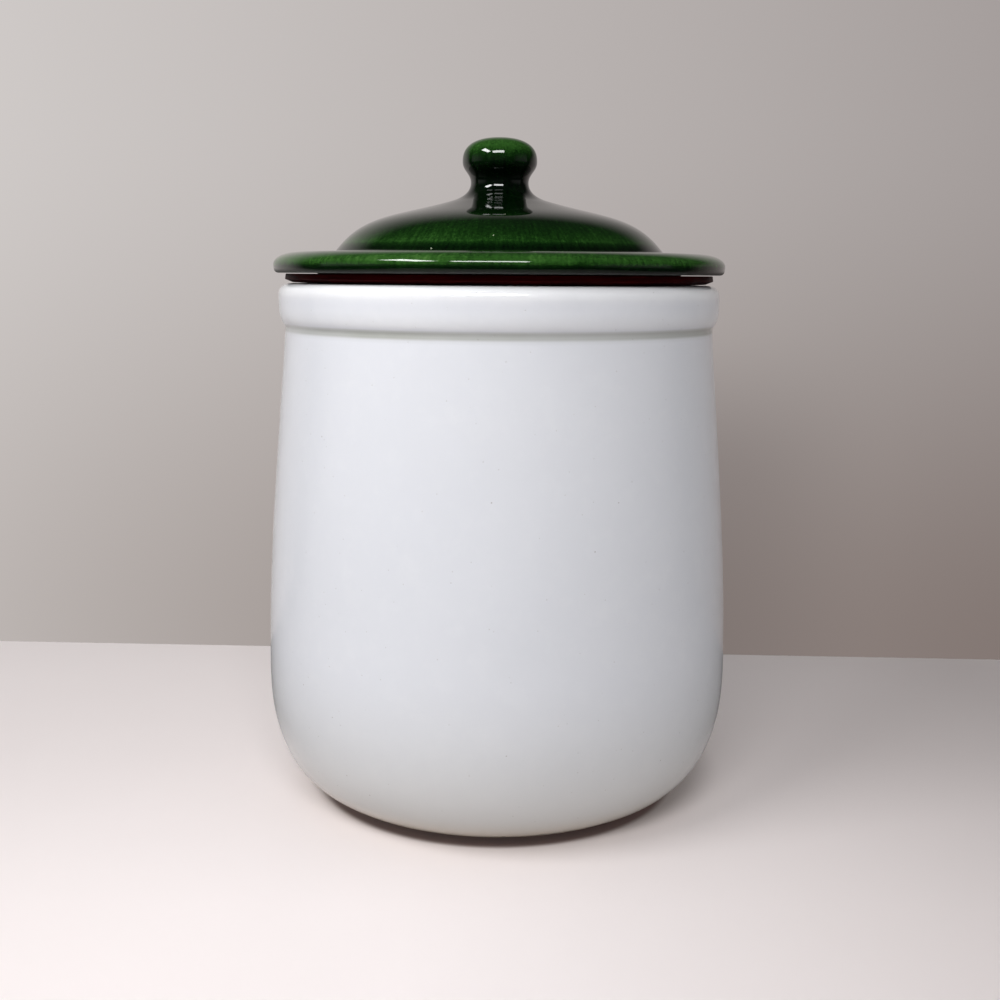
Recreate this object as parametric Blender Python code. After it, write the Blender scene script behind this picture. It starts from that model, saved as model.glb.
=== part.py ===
"""Glazed ceramic storage canister: a jar, a lift-off lid with a turned knob, and the rubber ring
that seals the two.

Metres, +Z up. The origin is on the table, on the canister's own axis. Every piece is a turned
shape: a half section of (radius, height) points, spun once round the Z axis.
"""

import math

import bmesh
import bpy

# Turning: facets round a piece, and along a long curve, a rounded edge and a small fillet
SEGMENTS = 56
LONG_STEPS = 7
ROUND_STEPS = 5
FILLET_STEPS = 3
WELD = 0.000001
SHARP_ANGLE = math.radians(32)

# Clearance between two pieces that rest on each other
SEAT_GAP = 0.0003

# Jar, outside
JAR_HEIGHT = 0.2084
BELLY_RADIUS = 0.0952
BELLY_HEIGHT = 0.0540
BOTTOM_FULLNESS = 2.5
BELLY_STRETCH = 0.0500
NECK_STRETCH = 0.0305
NECK_LEAN = 0.0018

# Jar, foot ring
FOOT_RADIUS = 0.0580
FOOT_WIDTH = 0.0070
FOOT_BEVEL = 0.0006
FOOT_STEP = 0.0004
FOOT_RECESS = 0.0025

# Jar, rolled band under the rim
BAND_RADIUS = 0.0884
GROOVE_DEPTH = 0.0024
GROOVE_DROP = 0.0176
GROOVE_REACH = 0.23
BAND_DROP = 0.0088
BAND_REACH = 0.74
RIM_WIDTH = 0.0125
RIM_OUTER_ROUND = 0.0056
RIM_ROUND_DROP = 0.0052
RIM_FULLNESS = 2.4
MOUTH_FLARE = 0.0051

# Jar, inside
WALL = 0.0065
FLOOR = 0.0070

# Rubber ring
RING_THICKNESS = 0.0033
RING_BEVEL_RISE = 0.0012
RING_BEVEL_WIDTH = 0.0031
RING_SETBACK = 0.0028
RING_BITE = 0.0012
RING_CORNER = 0.0002

# Lid, brim
BRIM_OVERHANG = 0.0017
BRIM_LOWER_ROUND = 0.0022
BRIM_LOWER_DROP = 0.0033
BRIM_UPPER_ROUND = 0.0095
BRIM_UPPER_RISE = 0.0047
BRIM_SLOPE = 0.0003
BRIM_WIDTH = 0.0242

# Lid, dome: its slopes are height lost per radius gained, at its crest and at its foot
DOME_RISE = 0.0200
CREST_SLOPE = 0.28
CREST_REACH = 0.49
FLANK_SLOPE = 1.27
FLANK_REACH = 0.24
DOME_FILLET = 0.0014
LID_WALL = 0.0060
HOLLOW_FULLNESS = 1.95

# Lid, knob
NECK_RADIUS = 0.0116
NECK_HEIGHT = 0.0076
NECK_REACH = 0.66
FLARE_RADIUS = 0.0208
FLARE_REACH = 0.32
KNOB_RADIUS = 0.0149
KNOB_RISE = 0.0080
KNOB_TUCK = 0.43
KNOB_CAP = 0.0095
KNOB_FULLNESS = 2.48

# Lid, spigot that centres it in the mouth
SPIGOT_PLAY = 0.0018
SPIGOT_REACH = 0.0101
SPIGOT_WALL = 0.0055
SPIGOT_ROUND = 0.0020

# Sizes that follow from the ones above
MOUTH_RADIUS = BAND_RADIUS - RIM_WIDTH
GROOVE_RADIUS = BAND_RADIUS - GROOVE_DEPTH
CREST_RADIUS = BAND_RADIUS - RIM_OUTER_ROUND
RING_BOTTOM = JAR_HEIGHT + SEAT_GAP
BRIM_BOTTOM = RING_BOTTOM + RING_THICKNESS + SEAT_GAP
SPIGOT_RADIUS = MOUTH_RADIUS - SPIGOT_PLAY
SLOT_RADIUS = SPIGOT_RADIUS - RING_BITE
SLOT_FLOOR = -(RING_THICKNESS + 2 * SEAT_GAP)
SPIGOT_BOTTOM = SLOT_FLOOR - SPIGOT_REACH
BRIM_RADIUS = BAND_RADIUS + BRIM_OVERHANG
DOME_RADIUS = BRIM_RADIUS - BRIM_WIDTH
BRIM_EDGE = BRIM_LOWER_DROP
BRIM_TOP = BRIM_EDGE + BRIM_UPPER_RISE
DOME_BASE = BRIM_TOP + BRIM_SLOPE
DOME_CREST = DOME_BASE + DOME_RISE
NECK_LEVEL = DOME_CREST + NECK_HEIGHT
KNOB_LEVEL = NECK_LEVEL + KNOB_RISE


def oval(centre, across, up, start, end, steps, fullness=2.0):
    """Points along an ellipse, or along a fuller, squarer curve when fullness is over 2."""
    points = []
    for i in range(steps + 1):
        angle = math.radians(start + (end - start) * i / steps)
        c = math.cos(angle)
        s = math.sin(angle)
        radius = centre[0] + math.copysign(abs(c) ** (2 / fullness), c) * across
        height = centre[1] + math.copysign(abs(s) ** (2 / fullness), s) * up
        points.append((radius, height))
    return points


def sweep(start, start_pull, end_pull, end, steps):
    """Points along a cubic curve that leaves start towards start_pull and reaches end from end_pull."""
    points = []
    for i in range(steps + 1):
        t = i / steps
        weights = ((1 - t) ** 3, 3 * (1 - t) ** 2 * t, 3 * (1 - t) * t * t, t ** 3)
        corners = (start, start_pull, end_pull, end)
        radius = sum(w * corner[0] for w, corner in zip(weights, corners))
        height = sum(w * corner[1] for w, corner in zip(weights, corners))
        points.append((radius, height))
    return points


def joined(*stretches):
    """One half section from several stretches, without the points that two stretches share."""
    section = []
    for stretch in stretches:
        for point in stretch:
            if not section or math.dist(point, section[-1]) > WELD:
                section.append(point)
    return section


def jar_side(inset, steps):
    """The jar's long side from the belly up to the groove, moved in by inset."""
    belly = (BELLY_RADIUS - inset, BELLY_HEIGHT)
    groove = (GROOVE_RADIUS - inset, JAR_HEIGHT - GROOVE_DROP)
    belly_pull = (belly[0], belly[1] + BELLY_STRETCH)
    groove_pull = (groove[0] + NECK_LEAN, groove[1] - NECK_STRETCH)
    return sweep(belly, belly_pull, groove_pull, groove, steps)


def jar_foot():
    """Recessed underside and the flat ring that the jar stands on."""
    inner = FOOT_RADIUS - FOOT_WIDTH
    return [
        (0, FOOT_RECESS),
        (inner - FOOT_RECESS, FOOT_RECESS),
        (inner, 0),
        (FOOT_RADIUS - FOOT_BEVEL, 0),
        (FOOT_RADIUS, FOOT_BEVEL),
    ]


def jar_bottom():
    """Rounded bottom, from the top of the foot ring out to the belly."""
    across = BELLY_RADIUS - FOOT_RADIUS
    up = BELLY_HEIGHT - FOOT_BEVEL - FOOT_STEP
    return oval((FOOT_RADIUS, BELLY_HEIGHT), across, up, -90, 0, LONG_STEPS, BOTTOM_FULLNESS)


def jar_band():
    """Rolled band: out of the groove, round its edge and up to the rim's crest."""
    groove = (GROOVE_RADIUS, JAR_HEIGHT - GROOVE_DROP)
    widest = (BAND_RADIUS, JAR_HEIGHT - BAND_DROP)
    rise = widest[1] - groove[1]
    groove_pull = (groove[0], groove[1] + rise * GROOVE_REACH)
    widest_pull = (widest[0], widest[1] - rise * BAND_REACH)
    roll = sweep(groove, groove_pull, widest_pull, widest, ROUND_STEPS)
    shoulder = (CREST_RADIUS, JAR_HEIGHT - RIM_ROUND_DROP)
    edge = oval(shoulder, RIM_OUTER_ROUND, RIM_ROUND_DROP, 0, 90, ROUND_STEPS, RIM_FULLNESS)
    return joined(roll, edge)


def jar_mouth():
    """Inner half of the rim, down the mouth and out again to the jar's thinner wall."""
    across = CREST_RADIUS - MOUTH_RADIUS
    shoulder = (CREST_RADIUS, JAR_HEIGHT - RIM_ROUND_DROP)
    lip = oval(shoulder, -across, RIM_ROUND_DROP, 90, 0, ROUND_STEPS, RIM_FULLNESS)
    wall = (GROOVE_RADIUS - WALL, JAR_HEIGHT - GROOVE_DROP)
    throat = (MOUTH_RADIUS, wall[1] + MOUTH_FLARE)
    throat_pull = (throat[0], throat[1] - MOUTH_FLARE / 2)
    wall_pull = (wall[0], wall[1] + MOUTH_FLARE / 2)
    flare = sweep(throat, throat_pull, wall_pull, wall, FILLET_STEPS)
    return joined(lip, flare)


def jar_inside():
    """Inside of the jar, from the groove's level down to the middle of the floor."""
    side = jar_side(WALL, ROUND_STEPS)[::-1]
    floor = FOOT_RECESS + FLOOR
    flat = FOOT_RADIUS - WALL
    across = BELLY_RADIUS - WALL - flat
    up = BELLY_HEIGHT - floor
    corner = oval((flat, BELLY_HEIGHT), across, up, 0, -90, ROUND_STEPS, BOTTOM_FULLNESS)
    return joined(side, corner, [(0, floor)])


def jar_section():
    """Half section of the jar, from under its floor, up the outside and down the inside."""
    return joined(
        jar_foot(), jar_bottom(), jar_side(0, LONG_STEPS), jar_band(), jar_mouth(), jar_inside()
    )


def ring_section():
    """Half section of the rubber ring, from its underside: flat on the rim, bevelled outside."""
    inner = SLOT_RADIUS + SEAT_GAP
    outer = BAND_RADIUS - RING_SETBACK
    return [
        (inner + RING_CORNER, 0),
        (outer - RING_BEVEL_WIDTH, 0),
        (outer - RING_CORNER, RING_BEVEL_RISE),
        (outer, RING_BEVEL_RISE + RING_CORNER),
        (outer, RING_THICKNESS - RING_CORNER),
        (outer - RING_CORNER, RING_THICKNESS),
        (inner + RING_CORNER, RING_THICKNESS),
        (inner, RING_THICKNESS - RING_CORNER),
        (inner, RING_CORNER),
    ]


def lid_knob():
    """Knob and neck, from the top down to where the neck's flare lands on the dome's crest."""
    cap = oval((0, KNOB_LEVEL), KNOB_RADIUS, KNOB_CAP, 90, 0, LONG_STEPS, KNOB_FULLNESS)
    widest = (KNOB_RADIUS, KNOB_LEVEL)
    neck = (NECK_RADIUS, NECK_LEVEL)
    widest_pull = (widest[0], widest[1] - KNOB_RISE * KNOB_TUCK)
    neck_top_pull = (neck[0], neck[1] + KNOB_RISE * KNOB_TUCK)
    under = sweep(widest, widest_pull, neck_top_pull, neck, ROUND_STEPS)
    crest = (FLARE_RADIUS, DOME_CREST)
    reach = (FLARE_RADIUS - NECK_RADIUS) * FLARE_REACH
    crest_pull = (crest[0] - reach, crest[1] + reach * CREST_SLOPE)
    neck_pull = (neck[0], neck[1] - NECK_HEIGHT * NECK_REACH)
    flare = sweep(neck, neck_pull, crest_pull, crest, LONG_STEPS)
    return joined(cap, under, flare)


def lid_dome():
    """Dome, from its crest round the neck's flare out and down its flank to the brim."""
    corner = (DOME_RADIUS, DOME_BASE)
    landing = (DOME_RADIUS + DOME_FILLET, DOME_BASE)
    run = DOME_FILLET / math.hypot(1, FLANK_SLOPE)
    foot = (corner[0] - run, corner[1] + run * FLANK_SLOPE)
    crest = (FLARE_RADIUS, DOME_CREST)
    crest_reach = (foot[0] - crest[0]) * CREST_REACH
    flank_reach = (foot[0] - crest[0]) * FLANK_REACH
    crest_pull = (crest[0] + crest_reach, crest[1] - crest_reach * CREST_SLOPE)
    foot_pull = (foot[0] - flank_reach, foot[1] + flank_reach * FLANK_SLOPE)
    arch = sweep(crest, crest_pull, foot_pull, foot, LONG_STEPS)
    fillet = sweep(foot, corner, corner, landing, FILLET_STEPS)
    return joined(arch, fillet)


def lid_brim():
    """Brim, from the dome out over its rounded edge and back in to the ring's slot."""
    top_centre = (BRIM_RADIUS - BRIM_UPPER_ROUND, BRIM_EDGE)
    upper = oval(top_centre, BRIM_UPPER_ROUND, BRIM_UPPER_RISE, 90, 0, ROUND_STEPS)
    bottom_centre = (BRIM_RADIUS - BRIM_LOWER_ROUND, BRIM_EDGE)
    lower = oval(bottom_centre, BRIM_LOWER_ROUND, BRIM_LOWER_DROP, 0, -90, ROUND_STEPS)
    return joined(upper, lower)


def lid_spigot():
    """Slot for the ring, then the spigot down into the jar's mouth and up its inner face."""
    inner = SPIGOT_RADIUS - SPIGOT_WALL
    outer_round = (SPIGOT_RADIUS - SPIGOT_ROUND, SPIGOT_BOTTOM + SPIGOT_ROUND)
    inner_round = (inner + SPIGOT_ROUND, SPIGOT_BOTTOM + SPIGOT_ROUND)
    slot = [(SLOT_RADIUS, 0), (SLOT_RADIUS, SLOT_FLOOR), (SPIGOT_RADIUS, SLOT_FLOOR - RING_BITE)]
    outside = oval(outer_round, SPIGOT_ROUND, SPIGOT_ROUND, 0, -90, FILLET_STEPS)
    inside = oval(inner_round, -SPIGOT_ROUND, SPIGOT_ROUND, -90, 0, FILLET_STEPS)
    return joined(slot, outside, inside)


def lid_underside():
    """Hollow under the dome, from the spigot's inner face to the middle."""
    ledge = DOME_BASE - LID_WALL
    inner = SPIGOT_RADIUS - SPIGOT_WALL
    hollow = DOME_RADIUS - LID_WALL
    ceiling = DOME_CREST - LID_WALL
    root_centre = (inner - SPIGOT_ROUND, ledge - SPIGOT_ROUND)
    root = oval(root_centre, SPIGOT_ROUND, SPIGOT_ROUND, 0, 90, FILLET_STEPS)
    arch = oval((0, ledge), hollow, ceiling - ledge, 0, 90, LONG_STEPS, HOLLOW_FULLNESS)
    return joined(root, [(hollow + DOME_FILLET, ledge)], arch[1:])


def lid_section():
    """Half section of the lid above its brim's underside, from the knob's top round to below it."""
    return joined(lid_knob(), lid_dome(), lid_brim(), lid_spigot(), lid_underside())


def finish(name, colour, roughness, coat=0.0):
    """A Principled material in the piece's own colour."""
    material = bpy.data.materials.new(name)
    material.use_nodes = True
    shader = material.node_tree.nodes["Principled BSDF"]
    shader.inputs["Base Color"].default_value = (*colour, 1)
    shader.inputs["Roughness"].default_value = roughness
    shader.inputs["Metallic"].default_value = 0.0
    shader.inputs["Coat Weight"].default_value = coat
    material.diffuse_color = (*colour, 1)
    return material


def white_glaze():
    return finish("white_glaze", (0.76, 0.77, 0.80), 0.12, 0.5)


def green_glaze():
    return finish("green_glaze", (0.018, 0.085, 0.014), 0.10, 0.5)


def maroon_rubber():
    return finish("maroon_rubber", (0.060, 0.006, 0.007), 0.55)


def turned(name, section, material, carrier, height):
    """Spin a half section round the Z axis into one closed piece, carried at a height."""
    shape = bmesh.new()
    verts = [shape.verts.new((radius, 0, level)) for radius, level in section]
    if section[0][0] > WELD:
        verts.append(verts[0])
    edges = [shape.edges.new(pair) for pair in zip(verts, verts[1:])]
    bmesh.ops.spin(
        shape,
        geom=list(shape.verts) + edges,
        cent=(0, 0, 0),
        axis=(0, 0, 1),
        dvec=(0, 0, 0),
        angle=math.tau,
        steps=SEGMENTS,
        use_merge=True,
    )
    bmesh.ops.remove_doubles(shape, verts=shape.verts, dist=WELD)
    bmesh.ops.recalc_face_normals(shape, faces=shape.faces)
    mesh = bpy.data.meshes.new(name)
    shape.to_mesh(mesh)
    shape.free()
    mesh.materials.append(material)
    mesh.shade_smooth()
    mesh.set_sharp_from_angle(angle=SHARP_ANGLE)
    piece = bpy.data.objects.new(name, mesh)
    bpy.context.collection.objects.link(piece)
    piece.parent = carrier
    piece.location = (0, 0, height)
    return piece


def carrier_at(name, height):
    """An empty on the canister's axis that carries pieces."""
    empty = bpy.data.objects.new(name, None)
    empty.empty_display_size = BAND_RADIUS
    empty.location = (0, 0, height)
    bpy.context.collection.objects.link(empty)
    return empty


def build_canister():
    """The jar on the table, and on its rim the ring with the lid, which lift off together."""
    for old in list(bpy.data.objects):
        bpy.data.objects.remove(old)
    table = carrier_at("table_level", 0)
    lid_lift = carrier_at("lid_lift", RING_BOTTOM)
    turned("jar", jar_section(), white_glaze(), table, 0)
    turned("seal_ring", ring_section(), maroon_rubber(), lid_lift, 0)
    turned("lid", lid_section(), green_glaze(), lid_lift, BRIM_BOTTOM - RING_BOTTOM)


build_canister()
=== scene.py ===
# %% [markdown]
# # A glazed storage canister, from its turned shapes to its glazes
#
# A canister like this one is three pieces: a jar, a lid and the rubber ring between them. The jar
# and the lid are stoneware, shaped on a wheel or in a turning mould, so every line on them runs
# round one upright axis. Their looks come from what covers them, which is a coat of glass. This
# lesson first stands a camera, a floor and lamps, then turns the three pieces from their half
# sections, and gives each its glaze or rubber as a node material.

# %% Load the packed model
import math

import bmesh
import bpy
from mathutils import Matrix, Vector, noise


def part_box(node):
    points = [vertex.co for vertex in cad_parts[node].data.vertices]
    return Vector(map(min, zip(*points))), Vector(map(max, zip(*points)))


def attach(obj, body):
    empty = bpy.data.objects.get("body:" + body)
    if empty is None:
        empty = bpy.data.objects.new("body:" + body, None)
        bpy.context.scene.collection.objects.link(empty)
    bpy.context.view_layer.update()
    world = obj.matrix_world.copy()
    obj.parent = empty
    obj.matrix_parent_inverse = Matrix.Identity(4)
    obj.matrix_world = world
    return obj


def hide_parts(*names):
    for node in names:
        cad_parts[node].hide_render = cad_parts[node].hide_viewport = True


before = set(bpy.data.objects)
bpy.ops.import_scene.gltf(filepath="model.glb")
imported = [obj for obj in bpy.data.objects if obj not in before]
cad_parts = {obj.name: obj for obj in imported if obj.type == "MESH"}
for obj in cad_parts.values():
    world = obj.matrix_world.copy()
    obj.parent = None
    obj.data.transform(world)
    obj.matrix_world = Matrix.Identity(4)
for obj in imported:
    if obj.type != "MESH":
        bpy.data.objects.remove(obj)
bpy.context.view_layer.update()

# %% [markdown]
# ## The camera
#
# The photograph was taken from about half a metre, with the lens just above the jar's rim and
# tipped down by ten degrees. A camera could be aimed with a Track To constraint, but the small
# roll of a hand-held shot is easier to give as a matrix: place, turn, tip, and then roll.

# %% Stand the camera
CAMERA_PLACE = (0.0, -0.5145, 0.2122)
CAMERA_TURN = -0.0018
CAMERA_TIP = 0.1785
CAMERA_ROLL = 0.0068
LENS, FILM_WIDTH, NEAREST = 45, 36, 0.01

scene = bpy.context.scene
camera = bpy.data.objects.new("camera", bpy.data.cameras.new("camera"))
scene.collection.objects.link(camera)
camera.data.lens = LENS
camera.data.sensor_width = FILM_WIDTH
camera.data.clip_start = NEAREST
camera.matrix_world = (
    Matrix.Translation(CAMERA_PLACE)
    @ Matrix.Rotation(CAMERA_TURN, 4, "Z")
    @ Matrix.Rotation(math.pi / 2 - CAMERA_TIP, 4, "X")
    @ Matrix.Rotation(CAMERA_ROLL, 4, "Z")
)
scene.camera = camera
scene.view_settings.view_transform = "Standard"
print("camera stands", round(Vector(CAMERA_PLACE).length, 3), "m from the canister's foot")

# %% [markdown]
# ## A short way to write nodes
#
# A material is a small drawing of boxes and wires. Each box takes one line here: its kind, the
# values of its sockets by name, and the wires that reach it, so the recipes below read like lists.

# %% A helper for node trees
class Recipe:
    """The node tree of one material or world, with short ways to add and join nodes."""

    def __init__(self, owner):
        owner.use_nodes = True
        self.tree = owner.node_tree
        self.tree.nodes.clear()

    def add(self, kind, sockets=(), **settings):
        """A node. Sockets maps a name or index to a value, or to the output that feeds it."""
        node = self.tree.nodes.new("ShaderNode" + kind)
        for key, value in settings.items():
            setattr(node, key, value)
        for key, value in dict(sockets).items():
            if isinstance(value, bpy.types.NodeSocket):
                self.tree.links.new(value, node.inputs[key])
            else:
                node.inputs[key].default_value = value
        return node

    def maths(self, operation, first, second=0.0, clamp=False):
        """The result of one Math node."""
        sockets = {0: first, 1: second}
        return self.add("Math", sockets, operation=operation, use_clamp=clamp).outputs[0]

    def plus(self, first, second, clamp=False):
        return self.maths("ADD", first, second, clamp)

    def minus(self, first, second):
        return self.maths("SUBTRACT", first, second)

    def times(self, first, second):
        return self.maths("MULTIPLY", first, second)

    def spread(self, value, low, high, to_low=0.0, to_high=1.0, smooth=False):
        """A value moved from one range to another and held there."""
        kind = "SMOOTHSTEP" if smooth else "LINEAR"
        sockets = {"Value": value, "From Min": low, "From Max": high}
        sockets.update({"To Min": to_low, "To Max": to_high})
        return self.add("MapRange", sockets, interpolation_type=kind).outputs["Result"]

    def blend(self, factor, first, second):
        """The colour between two colours."""
        sockets = {"Factor": factor, 6: first, 7: second}
        return self.add("Mix", sockets, data_type="RGBA").outputs[2]

    def ramp(self, value, marks):
        """The colour that a value picks from marks, each a position and a colour."""
        node = self.add("ValToRGB", {"Fac": value})
        stops = node.color_ramp.elements
        for mark in marks[2:]:
            stops.new(mark[0])
        for stop, mark in zip(stops, marks):
            stop.position = mark[0]
        for stop, mark in zip(stops, marks):
            stop.color = mark[1]
        return node.outputs["Color"]


print("recipes can add:", [word for word in dir(Recipe) if not word.startswith("_")])

# %% [markdown]
# ## Places and patterns
#
# A pattern has to know where it is. Object coordinates are metres from the canister's foot, so a
# pattern on them stays on its piece from every side. Noise gives clouds, and Voronoi cells give
# dots. Both could be painted on a flattened surface, but a jar has no good place for the seam.

# %% Helpers for places and patterns
DOT_CORE = 0.55


class Pattern(Recipe):
    """A recipe that knows where it is on its piece, and can cloud and dot it."""

    def place(self):
        """Metres from the origin of the piece."""
        return self.add("TexCoord").outputs["Object"]

    def axes(self, place):
        """The X, Y and Z of a place."""
        return self.add("SeparateXYZ", {0: place}).outputs

    def flat(self, axes):
        """A place with its height taken out."""
        return self.add("CombineXYZ", {0: axes["X"], 1: axes["Y"]}).outputs[0]

    def length(self, place):
        """How far a place is from the origin."""
        return self.add("VectorMath", {0: place}, operation="LENGTH").outputs["Value"]

    def clouds(self, place, scale, detail=2.0, rough=0.5):
        """Soft noise, around a half, at so many waves to the metre."""
        sockets = {"Vector": place, "Scale": scale, "Detail": detail, "Roughness": rough}
        return self.add("TexNoise", sockets).outputs["Fac"]

    def dots(self, place, scale, radius):
        """One in round dots scattered at random, nought between them. Radius is in metres."""
        cells = self.add("TexVoronoi", {"Vector": place, "Scale": scale}).outputs["Distance"]
        return self.spread(cells, radius * scale, radius * scale * DOT_CORE, smooth=True)


print("patterns can add:", sorted(word for word in vars(Pattern) if not word.startswith("_")))

# %% [markdown]
# ## A flat sheet for the stage
#
# The floor and the backdrop are each one flat square with paint on it. A grid with a single face
# is enough, because all that is seen on them comes from the paint. Each sheet is linked straight
# into the scene and is given to no body of the canister.

# %% Cut a staged sheet
FLOOR_SIZE = 6.0
WALL_DISTANCE, WALL_TURN, WALL_HEIGHT = 0.176, -0.042, 3.0


def sheet_of(name, size, matrix, material):
    """One flat staged square."""
    shape = bmesh.new()
    bmesh.ops.create_grid(shape, x_segments=1, y_segments=1, size=size, matrix=matrix)
    mesh = bpy.data.meshes.new(name)
    shape.to_mesh(mesh)
    shape.free()
    mesh.materials.append(material)
    piece = bpy.data.objects.new(name, mesh)
    scene.collection.objects.link(piece)
    return piece


print("floor", FLOOR_SIZE, "m across, wall", WALL_DISTANCE, "m behind the axis")

# %% [markdown]
# ## The table's colour
#
# The table is pale and faintly pink. It is brightest in front on the left and falls off to the
# right and towards the wall. Lamps could do all of that, but these are placed for the dashes that
# they leave on the lid, so the fall-off is mixed into the paint, with a Map Range node along each
# axis. A soft shade and a deep brown one lie under the jar's round bottom. Light Path keeps them to
# the camera's own rays, so that the shiny jar doesn't mirror a painted shadow.

# %% Mix the table's colour
TABLE_TONES = (0.85, 0.78, 0.77, 1), (0.885, 0.818, 0.81, 1)
TABLE_CLOUDS = (3.0, 3.0)  # waves to the metre, and detail
CLOUD_SPAN = (0.3, 0.7)  # nearly all that such a noise gives lies in here
TABLE_DIM = (0.06, 0.045, 0.045, 1)
DIM_TO_THE_RIGHT = (-0.03, 0.36, 0.0, 0.45)
DIM_TO_THE_WALL = (-0.12, 0.02, 0.0, 0.08)
SOFT_SHADE, SOFT_SHADE_EDGE = (0.05, 0.035, 0.03, 1), (0.089, 0.076, 0.0, 0.26)
SOFT_SHADE_SHIFT = (-0.010, -0.014, 0)
DEEP_SHADE, DEEP_SHADE_EDGE = (0.10, 0.028, 0.020, 1), (0.0765, 0.0730, 0.0, 0.75)

floor_paint = bpy.data.materials.new("floor_paint")
recipe = Pattern(floor_paint)
place = recipe.place()
axes = recipe.axes(place)
rays = recipe.add("LightPath").outputs
tone = recipe.spread(recipe.clouds(place, *TABLE_CLOUDS), *CLOUD_SPAN)
table_colour = recipe.blend(tone, *TABLE_TONES)
to_the_right = recipe.spread(axes["X"], *DIM_TO_THE_RIGHT)
to_the_wall = recipe.spread(axes["Y"], *DIM_TO_THE_WALL)
table_colour = recipe.blend(recipe.plus(to_the_right, to_the_wall), table_colour, TABLE_DIM)
flat_place = recipe.flat(axes)
shifted = recipe.add("Mapping", {"Vector": flat_place, "Location": SOFT_SHADE_SHIFT}).outputs[0]
radius = recipe.length(flat_place)
for distance, edge, shade in (
    (recipe.length(shifted), SOFT_SHADE_EDGE, SOFT_SHADE),
    (radius, DEEP_SHADE_EDGE, DEEP_SHADE),
):
    share = recipe.times(recipe.spread(distance, *edge, smooth=True), rays["Is Camera Ray"])
    table_colour = recipe.blend(share, table_colour, shade)
print("table colour:", len(recipe.tree.nodes), "nodes")

# %% [markdown]
# ## What the glazes get from the table
#
# A table does three jobs: the camera looks at it, its light lifts the underside of the jar, and
# the shiny glazes mirror it. Each job gets a tone of its own here. The light that bounces off is
# even, and weaker right under the jar. The mirrored table turns dim a little way out and ends at
# its edges, because a bright table without end would veil the dark lid in grey.

# %% Give each kind of ray its table
BOUNCE, BOUNCE_UNDER = (0.76, 0.72, 0.71, 1), (0.55, 0.49, 0.44, 1)
BOUNCE_EDGE = (0.100, 0.075)
MIRRORED_TABLE, MIRRORED_EDGE = (0.22, 0.21, 0.205, 1), (0.095, 0.155)
TABLE_FRONT, TABLE_SIDE = 0.45, 0.42
TABLE_ROUGHNESS, TABLE_GLOW = 0.45, 0.12

bounce = recipe.blend(recipe.spread(radius, *BOUNCE_EDGE), BOUNCE, BOUNCE_UNDER)
table_colour = recipe.blend(rays["Is Diffuse Ray"], table_colour, bounce)
away = recipe.spread(radius, *MIRRORED_EDGE, smooth=True)
away = recipe.times(rays["Is Glossy Ray"], away)
table_colour = recipe.blend(away, table_colour, MIRRORED_TABLE)
table = recipe.add("BsdfPrincipled", {
    "Base Color": table_colour,
    "Roughness": TABLE_ROUGHNESS,
    "Emission Color": table_colour,
    "Emission Strength": recipe.times(rays["Is Camera Ray"], TABLE_GLOW),
}).outputs[0]
past_front = recipe.maths("LESS_THAN", axes["Y"], -TABLE_FRONT)
past_side = recipe.maths("GREATER_THAN", recipe.maths("ABSOLUTE", axes["X"]), TABLE_SIDE)
past = recipe.times(recipe.maths("MAXIMUM", past_front, past_side), rays["Is Glossy Ray"])
clear = recipe.add("BsdfTransparent").outputs[0]
shown = recipe.add("MixShader", {0: past, 1: table, 2: clear}).outputs[0]
recipe.add("OutputMaterial", {"Surface": shown})
print("floor paint:", len(recipe.tree.nodes), "nodes")

# %% [markdown]
# ## The wall's colour
#
# A pale wall stands close behind the canister. Its light and shade are painted: it is lighter on
# the left, darker and browner low down towards the table, and a soft painted shadow of the jar lies
# on it beside the jar. Those are three blends: one across, one down, and one round the shadow.

# %% Mix the wall's colour
WALL_LEFT, WALL_RIGHT = (0.655, 0.62, 0.605, 1), (0.315, 0.280, 0.273, 1)
WALL_SPAN = (-0.35, 0.4)
LOW_SHADE_LEFT, LOW_SHADE_RIGHT = (0.09, 0.03, 0.0, 1), (0.18, 0.14, 0.125, 1)
LOW_SHADE_TOP, LOW_SHADE_SHARES = 0.30, (0.20, 0.78)
PAINTED_WALL_SHADOW, WALL_SHADOW_MIDDLE, WALL_SHADOW_REACH = (0.03, 0.02, 0.02, 1), 0.11, 0.11
WALL_SHADOW_HEIGHT = (0.19, 0.10, 0.0, 0.24)

wall_paint = bpy.data.materials.new("wall_paint")
recipe = Pattern(wall_paint)
axes = recipe.axes(recipe.place())
# Painted light: the wall is lighter on the left and falls off to the right.
side = recipe.spread(axes["X"], *WALL_SPAN)
wall_colour = recipe.blend(side, WALL_LEFT, WALL_RIGHT)
# Painted shade: darker and browner low down, towards the table.
low_shade = recipe.spread(axes["Z"], LOW_SHADE_TOP, 0.0, smooth=True)
low_shade = recipe.times(low_shade, recipe.spread(axes["X"], *WALL_SPAN, *LOW_SHADE_SHARES))
wall_colour = recipe.blend(low_shade, wall_colour, recipe.blend(side, LOW_SHADE_LEFT, LOW_SHADE_RIGHT))
# The jar's painted shadow, a soft patch beside it on the wall.
wall_shadow = recipe.maths("ABSOLUTE", recipe.minus(axes["X"], WALL_SHADOW_MIDDLE))
wall_shadow = recipe.spread(wall_shadow, WALL_SHADOW_REACH, 0.0, smooth=True)
wall_shadow = recipe.times(wall_shadow, recipe.spread(axes["Z"], *WALL_SHADOW_HEIGHT, smooth=True))
wall_colour = recipe.blend(wall_shadow, wall_colour, PAINTED_WALL_SHADOW)
print("wall colour:", len(recipe.tree.nodes), "nodes")

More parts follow.
